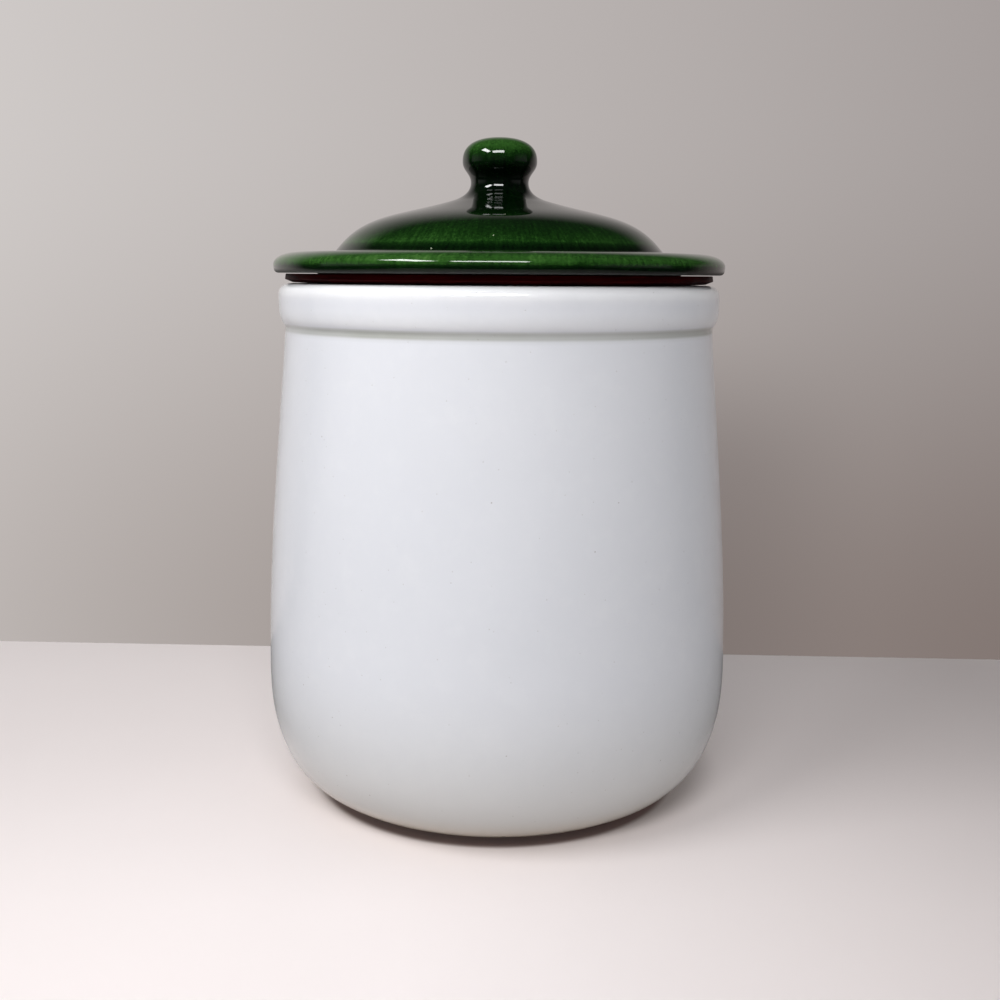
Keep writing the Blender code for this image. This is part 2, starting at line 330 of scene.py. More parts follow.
# %% [markdown]
# ## Standing the wall up
#
# A real wall this near would keep the light off the canister's back. So this one is paint that
# glows as bright as its colour: the camera and the glazes see it, but it casts no shadow, gives no
# light, and is clear from behind. What the glazes mirror of it turns dark high up and far to the
# sides, where a room has its dark corners.

# %% Finish the wall's paint and stand the stage
DARK_CORNER = (0.02, 0.02, 0.02, 1)
CORNER_HEIGHT, CORNER_SPAN = (0.0, 0.30, 0.52, 0.37), (0.75, 0.20)
CORNER_START = 0.25

top = recipe.spread(axes["X"], *CORNER_HEIGHT)
near = recipe.spread(axes["Z"], top, CORNER_START, smooth=True)
aside = recipe.spread(recipe.maths("ABSOLUTE", axes["X"]), *CORNER_SPAN, smooth=True)
far = recipe.minus(1.0, recipe.times(near, aside))
far = recipe.times(far, recipe.add("LightPath").outputs["Is Glossy Ray"])
wall_colour = recipe.blend(far, wall_colour, DARK_CORNER)
paint = recipe.add("Emission", {"Color": wall_colour}).outputs[0]
clear = recipe.add("BsdfTransparent").outputs[0]
behind = recipe.add("NewGeometry").outputs["Backfacing"]
shown = recipe.add("MixShader", {0: behind, 1: paint, 2: clear}).outputs[0]
recipe.add("OutputMaterial", {"Surface": shown})

floor = sheet_of("floor", FLOOR_SIZE / 2, Matrix(), floor_paint)
upright = (
    Matrix.Translation((0, WALL_DISTANCE, WALL_HEIGHT))
    @ Matrix.Rotation(WALL_TURN, 4, "Z")
    @ Matrix.Rotation(math.pi / 2, 4, "X")
)
wall = sheet_of("wall", WALL_HEIGHT, upright, wall_paint)
wall.visible_diffuse = False
wall.visible_shadow = False
print("stage:", floor.name, "and", wall.name)

# %% [markdown]
# ## The lamps
#
# Two tube lamps made the sharp white dashes on the lid: one across the front and one along the
# left side, both high up. They also shape the jar, bright on its front left and darker to the
# right. Two weak panels fill the sides, and they are kept out of the reflections, or they would
# stand on the knob as grey squares. One more lights the back. A lamp could have any shape, but
# rectangles keep the dashes straight, and their length and width set the size of each.

# %% Hang the lamps
LAMP_AIM = Vector((0, 0, 0.16))
LAMPS = (
    ("front_tube", (-0.388, -0.85, 0.88), (0.231, -0.85, 0.88), 0.245, 6.5, True),
    ("left_tube", (-0.52, -0.70, 0.82), (-0.52, -0.21, 0.82), 0.18, 4.8, True),
    ("left_panel", (-0.80, -0.30, 0.40), (-0.80, 0.30, 0.40), 0.5, 0.55, False),
    ("right_panel", (0.80, -0.30, 0.40), (0.80, 0.30, 0.40), 0.5, 0.75, False),
    ("back_panel", (-0.4, 1.4, 0.42), (0.9, 1.4, 0.42), 0.7, 4.0, True),
)  # name, one end, other end, width, watts, and whether the glazes mirror it


def hang(name, start, end, width, watts, mirrored):
    """A tube or panel lamp from start to end, facing the canister."""
    start, end = Vector(start), Vector(end)
    middle = (start + end) / 2
    along = (end - start).normalized()
    across = (LAMP_AIM - middle).normalized().cross(along).normalized()
    face = along.cross(across).normalized()
    lamp = bpy.data.lights.new(name, "AREA")
    lamp.shape = "RECTANGLE"
    lamp.size = (end - start).length
    lamp.size_y = width
    lamp.energy = watts
    holder = bpy.data.objects.new(name, lamp)
    turn = Matrix((along, -across, -face)).transposed()
    holder.matrix_world = Matrix.Translation(middle) @ turn.to_4x4()
    holder.visible_glossy = mirrored
    scene.collection.objects.link(holder)


for row in LAMPS:
    hang(*row)
print("lamps:", [row[0] for row in LAMPS])

# %% [markdown]
# ## The room
#
# The rest of the room is the world: dim, even light on all sides. Glossy glaze also mirrors a room,
# and an even one would look like fog on it, so mirror rays find another room. It is nearly black
# above and below, with a weak glow at the canister's height that is stronger at its left and right
# ends. A picture of a room could be wrapped round the scene instead, but tones on a ramp are easier
# to set.

# %% Give the room its light and its tones
ROOM_LIGHT, ROOM_TINT = 0.105, (0.97, 0.98, 1.0, 1)
ROOM_SEEN = (0.47, 0.43, 0.425, 1)
ROOM_DARK = (0.015, 0.017, 0.019, 1)
ROOM_SIDES = (
    (-1.0, 0.20), (-0.90, 0.14), (-0.78, 0.03), (-0.65, 0.02), (-0.56, 0.05),
    (0.27, 0.05), (0.36, 0.02), (0.66, 0.02), (0.80, 0.11), (1.0, 0.15),
)  # from far left to far right, and the tone there
GLOW_TOP, GLOW_BOTTOM = (0.50, 0.08), (-0.17, -0.02)

world = bpy.data.worlds.new("room")
scene.world = world
recipe = Recipe(world)
rays = recipe.add("LightPath").outputs
mirrored = recipe.plus(rays["Is Glossy Ray"], rays["Is Transmission Ray"], True)
heading = recipe.add("TexCoord").outputs["Generated"]
way = recipe.add("SeparateXYZ", {0: heading}).outputs
marks = [((side + 1) / 2, (tone, tone, tone, 1)) for side, tone in ROOM_SIDES]
glow = recipe.ramp(recipe.spread(way["X"], -1.0, 1.0), marks)
level = recipe.spread(way["Z"], *GLOW_TOP, smooth=True)
level = recipe.times(level, recipe.spread(way["Z"], *GLOW_BOTTOM, smooth=True))
around = recipe.blend(level, ROOM_DARK, glow)
tones = recipe.blend(rays["Is Camera Ray"], around, ROOM_SEEN)
lit = recipe.add("Background", {"Color": ROOM_TINT, "Strength": ROOM_LIGHT}).outputs[0]
seen = recipe.add("Background", {"Color": tones, "Strength": 1.0}).outputs[0]
either = recipe.plus(mirrored, rays["Is Camera Ray"], True)
room = recipe.add("MixShader", {0: either, 1: lit, 2: seen}).outputs[0]
recipe.add("OutputWorld", {0: room})
print("room tones:", len(marks), "and its light:", ROOM_LIGHT)

# %% [markdown]
# ## Curves for a half section
#
# A potter checks a profile with a card cut to half of the shape. The card here is a list of
# (radius, height) points. Two curves are enough to cut it: an oval, which can be filled out
# towards a square as a rounded foot or rim is, and a sweep, which leaves one point in a chosen
# direction and arrives at another, as the long side of a jar does. Points could be typed by hand,
# but then no line on the shape would be truly smooth.

# %% Cut the curves
FINE = 0.0000005


def oval(centre, across, up, start, end, steps, fullness=2.0):
    """Points along an ellipse, or along a squarer curve when fullness is over 2."""
    points = []
    for i in range(steps + 1):
        angle = math.radians(start + (end - start) * i / steps)
        c, s = math.cos(angle), math.sin(angle)
        radius = centre[0] + math.copysign(abs(c) ** (2 / fullness), c) * across
        height = centre[1] + math.copysign(abs(s) ** (2 / fullness), s) * up
        points.append((radius, height))
    return points


def sweep(start, start_pull, end_pull, end, steps):
    """Points along a curve that leaves start towards start_pull and reaches end from end_pull."""
    points = []
    for i in range(steps + 1):
        t = i / steps
        weights = ((1 - t) ** 3, 3 * (1 - t) ** 2 * t, 3 * (1 - t) * t * t, t ** 3)
        pairs = list(zip(weights, (start, start_pull, end_pull, end)))
        points.append(tuple(sum(w * corner[k] for w, corner in pairs) for k in (0, 1)))
    return points


def line(start, end, steps):
    """Even points along a straight line."""
    return [tuple(a + (b - a) * i / steps for a, b in zip(start, end)) for i in range(steps + 1)]


def joined(*stretches):
    """One section from several stretches, without the points that two of them share."""
    section = []
    for stretch in stretches:
        for point in stretch:
            if not section or math.dist(point, section[-1]) > FINE:
                section.append(point)
    return section


print("a quarter round of 6 mm:", len(oval((0, 0), 0.006, 0.006, 0, 90, 12)), "points")

# %% [markdown]
# ## The jar's foot and round bottom
#
# The jar is one fired piece. Its round bottom hides a flat foot ring, which was wiped clean of
# glaze so that the jar would not stick to the kiln shelf. The glaze stops just above it in a small
# step. The bottom could be a plain quarter of an ellipse, but the real one is fuller, so the oval
# is filled out a little.

# %% Draw the foot and the bottom
JAR_HEIGHT = 0.2084
BELLY_RADIUS, BELLY_HEIGHT, BOTTOM_FULLNESS = 0.0952, 0.0540, 2.5
FOOT_RADIUS, FOOT_WIDTH, FOOT_RECESS, FOOT_ROUND = 0.0580, 0.0070, 0.0025, 0.0006
FOOT_TOP, GLAZE_STEP = 0.0010, 0.0003

foot_inner = FOOT_RADIUS - FOOT_WIDTH
foot = joined(
    line((0, FOOT_RECESS), (foot_inner - FOOT_RECESS, FOOT_RECESS), 24),
    line((foot_inner - FOOT_RECESS, FOOT_RECESS), (foot_inner, 0), 4),
    line((foot_inner, 0), (FOOT_RADIUS - FOOT_ROUND, 0), 6),
    oval((FOOT_RADIUS - FOOT_ROUND, FOOT_ROUND), FOOT_ROUND, FOOT_ROUND, -90, 0, 4),
    line((FOOT_RADIUS, FOOT_ROUND), (FOOT_RADIUS, FOOT_TOP), 1),
)
bottom = oval(
    (FOOT_RADIUS, BELLY_HEIGHT), BELLY_RADIUS - FOOT_RADIUS, BELLY_HEIGHT - FOOT_TOP,
    -90, 0, 56, BOTTOM_FULLNESS,
)
print("foot and bottom:", len(foot) + len(bottom), "points")

# %% [markdown]
# ## The jar's side and rim band
#
# The jar is widest low down, leans in as it rises, and ends in a soft groove and a rolled band
# that stiffens the rim. The side is one long sweep, so that no joint shows in its reflections. It
# can be drawn further in by the wall, which makes the inside follow the outside.

# %% Draw the side and the band
BAND_RADIUS, GROOVE_RADIUS, GROOVE_HEIGHT = 0.0884, 0.0860, 0.1908
BAND_DROP = 0.0088
BAND_HEIGHT = JAR_HEIGHT - BAND_DROP
BELLY_PULL, GROOVE_PULL = 0.0500, (0.0018, 0.0305)
BAND_PULLS = 0.23, 0.74
CREST_RADIUS, RIM_DROP, RIM_FULLNESS = 0.0828, 0.0052, 2.4


def jar_side(inset, steps):
    """The long side from the belly up to the groove, moved in by inset."""
    belly = (BELLY_RADIUS - inset, BELLY_HEIGHT)
    groove = (GROOVE_RADIUS - inset, GROOVE_HEIGHT)
    belly_pull = (belly[0], BELLY_HEIGHT + BELLY_PULL)
    groove_pull = (groove[0] + GROOVE_PULL[0], GROOVE_HEIGHT - GROOVE_PULL[1])
    return sweep(belly, belly_pull, groove_pull, groove, steps)


band_rise = BAND_HEIGHT - GROOVE_HEIGHT
rim_centre = (CREST_RADIUS, JAR_HEIGHT - RIM_DROP)
band = joined(
    sweep(
        (GROOVE_RADIUS, GROOVE_HEIGHT),
        (GROOVE_RADIUS, GROOVE_HEIGHT + band_rise * BAND_PULLS[0]),
        (BAND_RADIUS, BAND_HEIGHT - band_rise * BAND_PULLS[1]),
        (BAND_RADIUS, BAND_HEIGHT),
        24,
    ),
    line((BAND_RADIUS, BAND_HEIGHT), (BAND_RADIUS, JAR_HEIGHT - RIM_DROP), 4),
    oval(rim_centre, BAND_RADIUS - CREST_RADIUS, RIM_DROP, 0, 90, 20, RIM_FULLNESS),
)
print("side and band:", len(jar_side(0, 64)) + len(band), "points")

# %% [markdown]
# ## The jar's mouth and inside
#
# The mouth is narrower than the inside and flares out below the rim. The wall is even, as thrown
# stoneware is, and the floor is a little thicker than it. A Solidify modifier could give the wall,
# but it would also thicken the foot and round off the mouth.

# %% Draw the mouth and the inside
MOUTH_RADIUS = 0.0759
FLARE_RISE, FLARE_PULL = 0.0051, 0.00255
WALL, FLOOR = 0.0065, 0.0070

flare_top = (MOUTH_RADIUS, GROOVE_HEIGHT + FLARE_RISE)
flare_bottom = (GROOVE_RADIUS - WALL, GROOVE_HEIGHT)
mouth = joined(
    oval(rim_centre, MOUTH_RADIUS - CREST_RADIUS, RIM_DROP, 90, 0, 20, RIM_FULLNESS),
    line((MOUTH_RADIUS, JAR_HEIGHT - RIM_DROP), flare_top, 5),
    sweep(
        flare_top, (MOUTH_RADIUS, GROOVE_HEIGHT + FLARE_PULL),
        (flare_bottom[0], GROOVE_HEIGHT + FLARE_PULL), flare_bottom, 10,
    ),
)
floor_top = FOOT_RECESS + FLOOR
flat = FOOT_RADIUS - WALL
inside = joined(
    jar_side(WALL, 30)[::-1],
    oval(
        (flat, BELLY_HEIGHT), BELLY_RADIUS - WALL - flat, BELLY_HEIGHT - floor_top,
        0, -90, 30, BOTTOM_FULLNESS,
    ),
    line((flat, floor_top), (0, floor_top), 20),
)
jar_section = joined(foot, bottom, jar_side(0, 64), band, mouth, inside)
print("jar section:", len(jar_section), "points")

# %% [markdown]
# ## How thick the glaze lies
#
# Wet glass creeps off sharp edges and gathers in hollows. That is why a glaze is pale along a rim
# and deep in a groove. The bend of the half section tells how much: a turn outwards thins the
# coat and a turn inwards fills it. The result is kept on the points of the section as a number
# from 0, bare, to 1, a deep pool. The white below also paints light and shade with it: its paler
# rim is in part a painted highlight, and its dark groove in part painted shade. Cycles has a
# Pointiness value that is close to this, but it depends on how fine the mesh is, and a number of
# our own can also say where there is no glaze.

# %% Work out the glaze from the bend of the section
GLAZE_EVEN, GLAZE_LEAST = 0.5, 0.12
GLAZE_REACH = 0.0022
GLAZE_PER_RADIAN = 0.42


def along(section):
    """Length along the section at each of its points."""
    lengths = [0.0]
    for a, b in zip(section, section[1:]):
        lengths.append(lengths[-1] + math.dist(a, b))
    return lengths


def point_at(section, lengths, length):
    """The point of the section at a length along it."""
    length = min(max(length, 0.0), lengths[-1])
    low, high = 0, len(lengths) - 1
    while high - low > 1:
        mid = (low + high) // 2
        low, high = (mid, high) if lengths[mid] <= length else (low, mid)
    share = (length - lengths[low]) / max(lengths[high] - lengths[low], FINE)
    return Vector([a + (b - a) * share for a, b in zip(section[low], section[high])])


def glaze_by_bend(section):
    """Glaze thickness at each point of a section that is walked with the clay on its left."""
    lengths = along(section)
    steps = (-GLAZE_REACH, 0, GLAZE_REACH)
    bends = []
    for length in lengths:
        back, here, on = (point_at(section, lengths, length + step) for step in steps)
        first, second = here - back, on - here
        at_an_end = min(first.length, second.length) < FINE
        bends.append(0.0 if at_an_end else -first.angle_signed(second))
    coat = []
    for length in lengths:
        near = [bend for bend, at in zip(bends, lengths) if abs(at - length) < GLAZE_REACH / 2]
        depth = GLAZE_EVEN - GLAZE_PER_RADIAN * sum(near) / len(near)
        coat.append(min(max(depth, GLAZE_LEAST), 1.0))
    return coat


jar_glaze = glaze_by_bend(jar_section)
print("jar glaze from", round(min(jar_glaze), 2), "to", round(max(jar_glaze), 2))

# %% [markdown]
# ## Turning a piece
#
# The wheel is the Spin operator: it carries the section round the upright axis and leaves a ring
# of faces behind. The glaze numbers ride along with the points. Spin can leave a piece inside
# out, and the points on the axis lie on top of each other, so those are merged first and then the
# faces are made to point outwards. A Screw modifier could do the same, but it would have to be
# applied before the small unevenness of hand work is pressed in.

# %% The wheel
ROUND = 160


def turned(name, section, coat):
    """Spin a half section into a closed piece that carries its glaze thickness."""
    shape = bmesh.new()
    layer = shape.verts.layers.float.new("glaze")
    points = []
    for (radius, height), depth in zip(section, coat):
        point = shape.verts.new((radius, 0, height))
        point[layer] = depth
        points.append(point)
    if section[0][0] > FINE:
        points.append(points[0])
    edges = [shape.edges.new(pair) for pair in zip(points, points[1:])]
    bmesh.ops.spin(
        shape, geom=list(shape.verts) + edges, cent=(0, 0, 0), axis=(0, 0, 1), dvec=(0, 0, 0),
        angle=math.tau, steps=ROUND, use_merge=True,
    )
    bmesh.ops.remove_doubles(shape, verts=shape.verts, dist=FINE)
    bmesh.ops.recalc_face_normals(shape, faces=shape.faces)
    mesh = bpy.data.meshes.new(name)
    shape.to_mesh(mesh)
    shape.free()
    piece = bpy.data.objects.new(name, mesh)
    scene.collection.objects.link(piece)
    return piece


print("the wheel turns in", ROUND, "steps")

# %% [markdown]
# ## The marks of making
#
# No pot is truly round. Hands and moulds leave waves of a fraction of a millimetre, which the eye
# reads in the reflections. Each point is pushed in or out by soft noise, but not where pieces seat
# on each other, and not at the axis. A Displace modifier could do it, but it would need a mask to
# leave the seats alone. Last, the faces are shaded smooth, apart from true corners.

# %% Press in the unevenness, and turn the jar
CREASE = math.radians(32)
CALM_AT_AXIS, CALM_AT_ENDS = 0.004, 0.012
WAVE_STRETCH = 0.7
BARE_STEPS = 6


def press_unevenness(piece, depth, waves, low, high):
    """Move points in or out by a soft random depth, full between two heights."""
    for vertex in piece.data.vertices:
        x, y, z = vertex.co
        radius = math.hypot(x, y)
        if radius < CALM_AT_AXIS:
            continue
        from_low = min(max((z - low) / CALM_AT_ENDS, 0), 1)
        from_high = min(max((high - z) / CALM_AT_ENDS, 0), 1)
        wave = noise.noise(Vector((x * waves, y * waves, z * waves * WAVE_STRETCH)))
        shift = depth * wave * (from_low * from_high) / radius
        vertex.co = (x * (1 + shift), y * (1 + shift), z)


def finish_surface(piece):
    """Smooth shading that keeps true corners crisp, and a word on the finished piece."""
    piece.data.shade_smooth()
    piece.data.set_sharp_from_angle(angle=CREASE)
    size = [round(side * 1000, 1) for side in piece.dimensions]
    print(piece.name, "has", len(piece.data.polygons), "faces and is", size, "mm")


for i, (radius, height) in enumerate(jar_section):
    if height < FOOT_TOP + GLAZE_STEP and i < len(foot) + BARE_STEPS:
        jar_glaze[i] = 0.0
jar = turned("stoneware_jar", jar_section, jar_glaze)
press_unevenness(jar, depth=0.00022, waves=22.0, low=0.004, high=0.196)
finish_surface(jar)

# %% [markdown]
# ## The rubber ring
#
# The ring is moulded rubber, stretched over the root of the lid's spigot. Its outer edge is about
# two millimetres thick and leans out a little towards the bottom. The underside rises outwards,
# so a sliver of daylight shows between the ring and the rim on both sides. A Bevel modifier could
# round the corners, but rounding them in the section keeps the small rounds even, and moulded
# rubber never has a knife edge.

# %% Turn the ring
SEAT_GAP = 0.0003
RING_BOTTOM = JAR_HEIGHT + SEAT_GAP
RING_THICKNESS = 0.0033
RING_INNER, RING_OUTER = 0.0732, 0.0856
RING_EDGE_RISE, RING_BEVEL = 0.0012, 0.0031
RING_LEAN, RING_ROUND = 0.0003, 0.00025
CORNER_PULL = 0.6


def rounded(corners, radius, steps=4):
    """A closed section with every corner cut to a small round."""
    section = []
    count = len(corners)
    for i in range(count):
        before, corner, after = (Vector(corners[k % count]) for k in (i - 1, i, i + 1))
        start = corner + (before - corner).normalized() * radius
        end = corner + (after - corner).normalized() * radius
        pulls = start.lerp(corner, CORNER_PULL), end.lerp(corner, CORNER_PULL)
        section += sweep(start, *pulls, end, steps)
    return joined([tuple(point) for point in section])


ring_top = RING_BOTTOM + RING_THICKNESS
ring_corners = [
    (RING_INNER, RING_BOTTOM),
    (RING_OUTER - RING_BEVEL, RING_BOTTOM),
    (RING_OUTER, RING_BOTTOM + RING_EDGE_RISE),
    (RING_OUTER - RING_LEAN, ring_top),
    (RING_INNER, ring_top),
]
ring_section = rounded(ring_corners, RING_ROUND)
ring = turned("rubber_ring", ring_section, [GLAZE_EVEN] * len(ring_section))
finish_surface(ring)

# %% [markdown]
# ## The lid's knob and neck
#
# The lid is also one fired piece, knob and all. It starts with a flattened ball, tucks in under it
# to a waist for the fingertips, and flares out onto the dome. The ball could be a squashed sphere
# set on top, but a thrown knob has no seam, so one line runs from its top to the crest of the dome.

# %% Draw the knob and the neck
BRIM_BOTTOM = ring_top + SEAT_GAP
BRIM_LOWER_HEIGHT, BRIM_UPPER_HEIGHT, BRIM_FALL = 0.0033, 0.0047, 0.0003
BRIM_EDGE = BRIM_BOTTOM + BRIM_LOWER_HEIGHT
BRIM_TOP = BRIM_EDGE + BRIM_UPPER_HEIGHT
DOME_BASE, DOME_RISE = BRIM_TOP + BRIM_FALL, 0.0200
CREST, CREST_SLOPE = (0.0208, DOME_BASE + DOME_RISE), 0.28
NECK_RADIUS, NECK_HEIGHT = 0.0116, 0.0076
NECK_LEVEL = DOME_BASE + DOME_RISE + NECK_HEIGHT
KNOB_RADIUS, KNOB_RISE, KNOB_CAP, KNOB_FULLNESS = 0.0149, 0.0080, 0.0095, 2.48
KNOB_LEVEL = NECK_LEVEL + KNOB_RISE
KNOB_TUCK, NECK_FLARE, CREST_REACH = 0.43, 0.66, 0.32


def knob_and_neck():
    """From the knob's top down to where the neck's flare lands on the dome's crest."""
    cap = oval((0, KNOB_LEVEL), KNOB_RADIUS, KNOB_CAP, 90, 0, 44, KNOB_FULLNESS)
    tuck = KNOB_RISE * KNOB_TUCK
    under = sweep(
        (KNOB_RADIUS, KNOB_LEVEL), (KNOB_RADIUS, KNOB_LEVEL - tuck),
        (NECK_RADIUS, NECK_LEVEL + tuck), (NECK_RADIUS, NECK_LEVEL), 24,
    )
    reach = (CREST[0] - NECK_RADIUS) * CREST_REACH
    crest_pull = (CREST[0] - reach, CREST[1] + reach * CREST_SLOPE)
    neck_pull = (NECK_RADIUS, NECK_LEVEL - NECK_HEIGHT * NECK_FLARE)
    return joined(cap, under, sweep((NECK_RADIUS, NECK_LEVEL), neck_pull, crest_pull, CREST, 30))


print("knob and neck:", len(knob_and_neck()), "points")

# %% [markdown]
# ## The dome and the brim
#
# The dome is low and steepest at its shoulder, and it meets the brim in a small hollow, where a
# finger wiped the join. The brim's edge is fuller above than below. Its upper round could be an
# arc, but the real one is a flat oval, which catches the lamps in thin dashes.

# %% Draw the dome and the brim
DOME_RADIUS, DOME_FILLET, FLANK_SLOPE = 0.0659, 0.0014, 1.27
DOME_CREST_PULL, DOME_FLANK_PULL = 0.49, 0.24
BRIM_RADIUS, BRIM_UPPER_ROUND, BRIM_LOWER_ROUND = 0.0901, 0.0095, 0.0022
BRIM_FULLNESS = 2.6


def dome_and_brim():
    """From the crest out over the dome and round the brim's edge to its underside."""
    run = DOME_FILLET / math.hypot(1, FLANK_SLOPE)
    foot = (DOME_RADIUS - run, DOME_BASE + run * FLANK_SLOPE)
    span = foot[0] - CREST[0]
    crest_run, flank_run = span * DOME_CREST_PULL, span * DOME_FLANK_PULL
    crest_pull = (CREST[0] + crest_run, CREST[1] - crest_run * CREST_SLOPE)
    foot_pull = (foot[0] - flank_run, foot[1] + flank_run * FLANK_SLOPE)
    corner = (DOME_RADIUS, DOME_BASE)
    landing = (DOME_RADIUS + DOME_FILLET, DOME_BASE)
    upper = (BRIM_RADIUS - BRIM_UPPER_ROUND, BRIM_EDGE)
    lower = (BRIM_RADIUS - BRIM_LOWER_ROUND, BRIM_EDGE)
    return joined(
        sweep(CREST, crest_pull, foot_pull, foot, 50),
        sweep(foot, corner, corner, landing, 10),
        line(landing, (upper[0], BRIM_TOP), 10),
        oval(upper, BRIM_UPPER_ROUND, BRIM_TOP - BRIM_EDGE, 90, 0, 26),
        oval(lower, BRIM_LOWER_ROUND, BRIM_LOWER_HEIGHT, 0, -90, 16, BRIM_FULLNESS),
    )


print("dome and brim:", len(dome_and_brim()), "points")

# %% [markdown]
# ## The underside of the lid
#
# Underneath are the parts that make it a lid: a slot that holds the ring, a spigot that goes down
# into the mouth, and a hollow, because a solid lid would crack in the kiln. The lid could be left
# plain where it is hidden, but it lifts off, and then all of this is seen.

# %% Draw the spigot and the hollow
SPIGOT_RADIUS, SLOT_RADIUS, SPIGOT_WALL = 0.0741, 0.0729, 0.0055
SPIGOT_ROUND, SPIGOT_DEPTH = 0.0020, 0.0140
SPIGOT_BOTTOM = BRIM_BOTTOM - SPIGOT_DEPTH
SLOT_SLANT = 0.0012
LID_WALL, HOLLOW_FULLNESS = 0.0060, 1.95


def spigot_and_hollow():
    """From the brim's underside round the slot and the spigot, and up under the dome."""
    inner = SPIGOT_RADIUS - SPIGOT_WALL
    slot_floor = RING_BOTTOM - SEAT_GAP
    low = SPIGOT_BOTTOM + SPIGOT_ROUND
    ledge = DOME_BASE - LID_WALL
    hollow = DOME_RADIUS - LID_WALL
    turn_in = (inner - SPIGOT_ROUND, ledge - SPIGOT_ROUND)
    return joined(
        line((BRIM_RADIUS - BRIM_LOWER_ROUND, BRIM_BOTTOM), (SLOT_RADIUS, BRIM_BOTTOM), 12),
        line((SLOT_RADIUS, BRIM_BOTTOM), (SLOT_RADIUS, slot_floor), 3),
        line((SLOT_RADIUS, slot_floor), (SPIGOT_RADIUS, slot_floor - SLOT_SLANT), 3),
        line((SPIGOT_RADIUS, slot_floor - SLOT_SLANT), (SPIGOT_RADIUS, low), 6),
        oval((SPIGOT_RADIUS - SPIGOT_ROUND, low), SPIGOT_ROUND, SPIGOT_ROUND, 0, -90, 8),
        oval((inner + SPIGOT_ROUND, low), -SPIGOT_ROUND, SPIGOT_ROUND, -90, 0, 8),
        line((inner, low), (inner, ledge - SPIGOT_ROUND), 8),
        oval(turn_in, SPIGOT_ROUND, SPIGOT_ROUND, 0, 90, 6),
        line((inner - SPIGOT_ROUND, ledge), (hollow + DOME_FILLET, ledge), 4),
        oval((0, ledge), hollow, DOME_RISE, 0, 90, 40, HOLLOW_FULLNESS)[1:],
    )


lid_section = joined(knob_and_neck(), dome_and_brim(), spigot_and_hollow())
print("lid section:", len(lid_section), "points")

# %% [markdown]
# ## Where the lid's glaze is thick and thin
#
# On the lid the glass ran further than the bend of the section tells: it left the knob's top and
# both shoulders thin and bright, and it pooled round the neck and at the foot of the dome. So its
# depth is written down as marks, each a radius, a height and a thickness from 0 to 1, and is
# evened out between them. It could be painted on by hand, but marks can be read and changed. The
# marks also hold painted light and shade: the knob's top and the brim's upper shoulder are made
# thinner, so brighter, where the lamps fall, and the knob's underside and the brim's lower edge
# deeper, so darker, where shade falls.

# %% Mark the lid's glaze
# Glaze thickness, and with it painted light and shade: thin and bright on the knob's top and the
# brim's shoulder, deep and dark under the knob and at the brim's lower edge.
LID_GLAZE_AND_SHADE_MARKS = (
    (0.0000, 0.2657, 0.36),  # top of the knob
    (0.0091, 0.2645, 0.29),
    (0.0134, 0.2614, 0.31),
    (0.0148, 0.2582, 0.55),  # widest line of the knob
    (0.0149, 0.2562, 0.74),
    (0.0145, 0.2543, 0.90),
    (0.0126, 0.2513, 1.00),  # waist
    (0.0116, 0.2477, 0.97),
    (0.0175, 0.2417, 0.92),
    (0.0300, 0.2382, 0.86),  # crest of the dome
    (0.0408, 0.2357, 0.80),
    (0.0479, 0.2337, 0.72),
    (0.0542, 0.2310, 0.66),
    (0.0598, 0.2272, 0.56),
    (0.0628, 0.2243, 0.42),  # shoulder of the dome
    (0.0640, 0.2230, 0.58),
    (0.0650, 0.2217, 0.84),  # foot of the dome
    (0.0670, 0.2206, 0.84),
    (0.0700, 0.2205, 0.60),
    (0.0829, 0.2202, 0.50),
    (0.0865, 0.2193, 0.38),
    (0.0886, 0.2181, 0.28),  # shoulder of the brim
    (0.0899, 0.2166, 0.28),
    (0.0901, 0.2156, 0.42),
    (0.0900, 0.2149, 0.66),
    (0.0899, 0.2142, 0.84),  # lower edge of the brim
    (0.0842, 0.2123, 0.90),
    (0.0741, 0.2049, 0.62),  # spigot
    (0.0000, 0.2346, 0.50),  # hollow
)


def glaze_by_marks(section, marks):
    """Glaze thickness along a section, from marks of radius, height and thickness."""
    lengths = along(section)
    posts = []
    for radius, height, depth in marks:
        spot = (radius, height)
        nearest = min(range(len(section)), key=lambda i: math.dist(section[i], spot))
        posts.append((lengths[nearest], depth))
    coat = []
    for length in lengths:
        before = max((post for post in posts if post[0] <= length), default=posts[0])
        after = min((post for post in posts if post[0] >= length), default=posts[-1])
        share = (length - before[0]) / max(after[0] - before[0], FINE)
        coat.append(before[1] + (after[1] - before[1]) * share)
    return coat


lid_glaze_and_shade = glaze_by_marks(lid_section, LID_GLAZE_AND_SHADE_MARKS)
print("lid glaze from", round(min(lid_glaze_and_shade), 2), "to", round(max(lid_glaze_and_shade), 2))

# %% [markdown]
# ## Turning the lid
#
# The lid stood in the kiln on the lower edge of its spigot, so that edge is bare clay, and the
# glaze there is set to nought. Then the lid goes on the wheel like the other two. It is more even
# than the jar, and its waves are finer. They stop at the top of the brim, so that the seat stays
# flat.

# %% Bare the spigot's edge and turn the lid
BARE_SHARE = 0.6

for i, (radius, height) in enumerate(lid_section):
    if height < SPIGOT_BOTTOM + SPIGOT_ROUND * BARE_SHARE:
        lid_glaze_and_shade[i] = 0.0
lid = turned("stoneware_lid", lid_section, lid_glaze_and_shade)
press_unevenness(lid, depth=0.00014, waves=40.0, low=BRIM_TOP, high=0.300)
finish_surface(lid)

